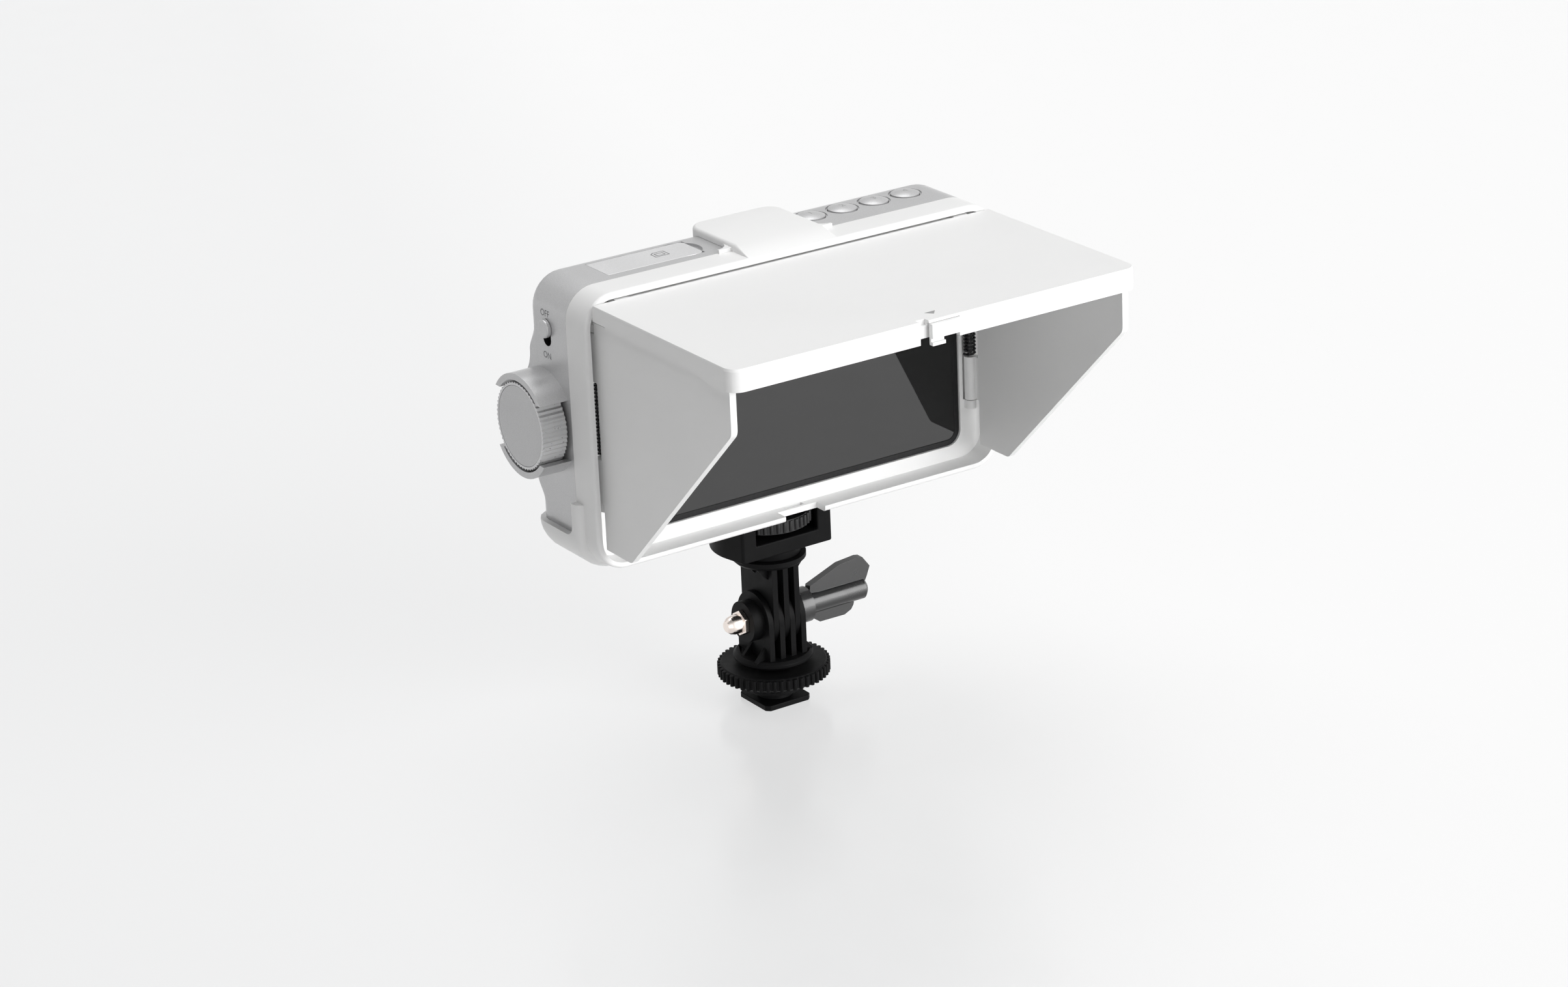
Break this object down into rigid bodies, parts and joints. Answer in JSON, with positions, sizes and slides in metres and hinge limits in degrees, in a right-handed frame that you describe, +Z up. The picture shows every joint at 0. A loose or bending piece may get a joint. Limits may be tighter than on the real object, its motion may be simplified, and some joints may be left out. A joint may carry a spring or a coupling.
{
  "type": "camera field monitor with sun hood",
  "caption": "Field monitor with a side dial, power slide, keys, folding sun hood with lid and sprung side wings, on a tilting swivel mount with a camera shoe foot.",
  "frame": {"origin": "centre of the underside of the accessory shoe foot", "axes": "+Z up through the mount, +Y away from the viewer of the screen, +X to the right when facing the screen"},
  "size_m": [0.176, 0.1304, 0.1727],
  "materials": {
    "white_plastic": "satin white plastic",
    "silver_paint": "silver metallic paint with a fine sparkle",
    "black_plastic": "satin black plastic",
    "inner_black": "matt black plastic",
    "rubber_pad": "thin rubber pad",
    "bright_nickel": "bright nickel plate",
    "steel": "plain steel",
    "spring_wire": "black finished spring wire",
    "screen_glass": "glossy cover glass",
    "display": "dark switched-off display",
    "light_guide": "white diffuser sheets",
    "circuit_board": "green solder mask",
    "brass": "turned brass"
  },
  "bodies": {
    "base": {"shoe_foot": "black_plastic", "knuckle_base": "black_plastic", "pivot_nut": "bright_nickel"},
    "washer": {"shoe_washer": "black_plastic"},
    "ring": {"locking_ring": "black_plastic"},
    "knob": {"pivot_bolt": "steel", "clamp_knob": "black_plastic"},
    "head": {"knuckle_head": "black_plastic", "swivel_screw": "steel"},
    "wheel": {"thumbwheel": "black_plastic", "mount_stud": "steel"},
    "dial": {"dial_ring": "silver_paint", "dial_cap": "silver_paint", "dial_shaft": "steel"},
    "power": {"power_slider": "silver_paint"},
    "key_1": {"button_1": "silver_paint"},
    "key_2": {"button_2": "silver_paint"},
    "key_3": {"button_3": "silver_paint"},
    "key_4": {"button_4": "silver_paint"},
    "door": {"card_door": "silver_paint"},
    "release": {"battery_release": "silver_paint"},
    "lid": {"hood_lid": "white_plastic", "lid_pins": "steel"},
    "latch": {"lid_latch": "white_plastic"},
    "left_wing": {"wing_left": "white_plastic"},
    "right_wing": {"wing_right": "white_plastic"},
    "monitor": {"mount_block": "black_plastic", "mount_pad": "rubber_pad", "rear_housing": "silver_paint", "front_shell": "inner_black", "glass_bezel": "inner_black", "screen_glass": "screen_glass", "lcd_panel": "display", "backlight": "light_guide", "chassis_plate": "steel", "main_board": "circuit_board", "heat_spreader": "steel", "thread_insert": "brass", "housing_screws": "steel", "video_socket": "steel", "power_jack": "inner_black", "audio_jack": "inner_black", "battery_plate": "inner_black", "battery_contacts": "inner_black", "plate_screws": "steel", "dial_encoder": "inner_black", "power_switch": "inner_black", "button_board": "circuit_board", "door_pin": "steel", "card_socket": "steel", "speaker": "inner_black", "hood_frame": "white_plastic", "wing_pins": "steel", "wing_spring_left": "spring_wire", "wing_spring_right": "spring_wire"}
  },
  "joints": [
    {"name": "head_tilt", "type": "hinge", "parent": "base", "child": "head", "pos_m": [0, 0, 0.03165], "axis": [1, 0, 0], "range_deg": [-90, 90]},
    {"name": "monitor_pan", "type": "hinge", "parent": "head", "child": "monitor", "pos_m": [0, 0, 0.055], "axis": [0, 0, 1], "continuous": true},
    {"name": "washer_lift", "type": "slide", "parent": "base", "child": "washer", "axis": [0, 0, -1], "range_m": [0, 0.0014]},
    {"name": "ring_spin", "type": "hinge", "parent": "washer", "child": "ring", "pos_m": [0, 0, 0.012], "axis": [0, 0, 1], "range_deg": [0, 336]},
    {"name": "knob_turn", "type": "hinge", "parent": "base", "child": "knob", "pos_m": [0.01, 0, 0.03165], "axis": [1, 0, 0], "continuous": true},
    {"name": "wheel_turn", "type": "hinge", "parent": "monitor", "child": "wheel", "pos_m": [0, 0, 0.067], "axis": [0, 0, 1], "continuous": true},
    {"name": "dial_turn", "type": "hinge", "parent": "monitor", "child": "dial", "pos_m": [-0.087, 0.0037, 0.1217], "axis": [-1, 0, 0], "continuous": true},
    {"name": "power_slide", "type": "slide", "parent": "monitor", "child": "power", "axis": [0, 0, -1], "range_m": [0, 0.0042]},
    {"name": "key_1_press", "type": "slide", "parent": "monitor", "child": "key_1", "axis": [0, 0, -1], "range_m": [0, 0.0007], "stiffness_N_per_m": 1500, "springref_m": -0.0003},
    {"name": "key_2_press", "type": "slide", "parent": "monitor", "child": "key_2", "axis": [0, 0, -1], "range_m": [0, 0.0007], "stiffness_N_per_m": 1500, "springref_m": -0.0003},
    {"name": "key_3_press", "type": "slide", "parent": "monitor", "child": "key_3", "axis": [0, 0, -1], "range_m": [0, 0.0007], "stiffness_N_per_m": 1500, "springref_m": -0.0003},
    {"name": "key_4_press", "type": "slide", "parent": "monitor", "child": "key_4", "axis": [0, 0, -1], "range_m": [0, 0.0007], "stiffness_N_per_m": 1500, "springref_m": -0.0003},
    {"name": "door_swing", "type": "hinge", "parent": "monitor", "child": "door", "pos_m": [-0.0603, -0.0008, 0.16905], "axis": [0, -1, 0], "range_deg": [0, 100]},
    {"name": "release_push", "type": "slide", "parent": "monitor", "child": "release", "axis": [0, 0, 1], "range_m": [0, 0.0024], "stiffness_N_per_m": 400, "springref_m": -0.001},
    {"name": "lid_lift", "type": "hinge", "parent": "monitor", "child": "lid", "pos_m": [0, -0.0204, 0.16373], "axis": [-1, 0, 0], "range_deg": [0, 6]},
    {"name": "latch_press", "type": "slide", "parent": "lid", "child": "latch", "axis": [0, 1, 0], "range_m": [0, 0.0008], "stiffness_N_per_m": 400, "springref_m": -0.0005},
    {"name": "left_wing_fold", "type": "hinge", "parent": "monitor", "child": "left_wing", "pos_m": [-0.0748, -0.0198, 0.1249], "axis": [0, 0, 1], "range_deg": [0, 90], "stiffness_Nm_per_rad": 0.01, "springref_deg": -28.65},
    {"name": "right_wing_fold", "type": "hinge", "parent": "monitor", "child": "right_wing", "pos_m": [0.0748, -0.0171, 0.1249], "axis": [0, 0, -1], "range_deg": [0, 90], "stiffness_Nm_per_rad": 0.01, "springref_deg": -28.65}
  ],
  "couplings": [
    {"joint": "ring_spin", "follows": "washer_lift", "rad_per_m": 4188.8}
  ]
}
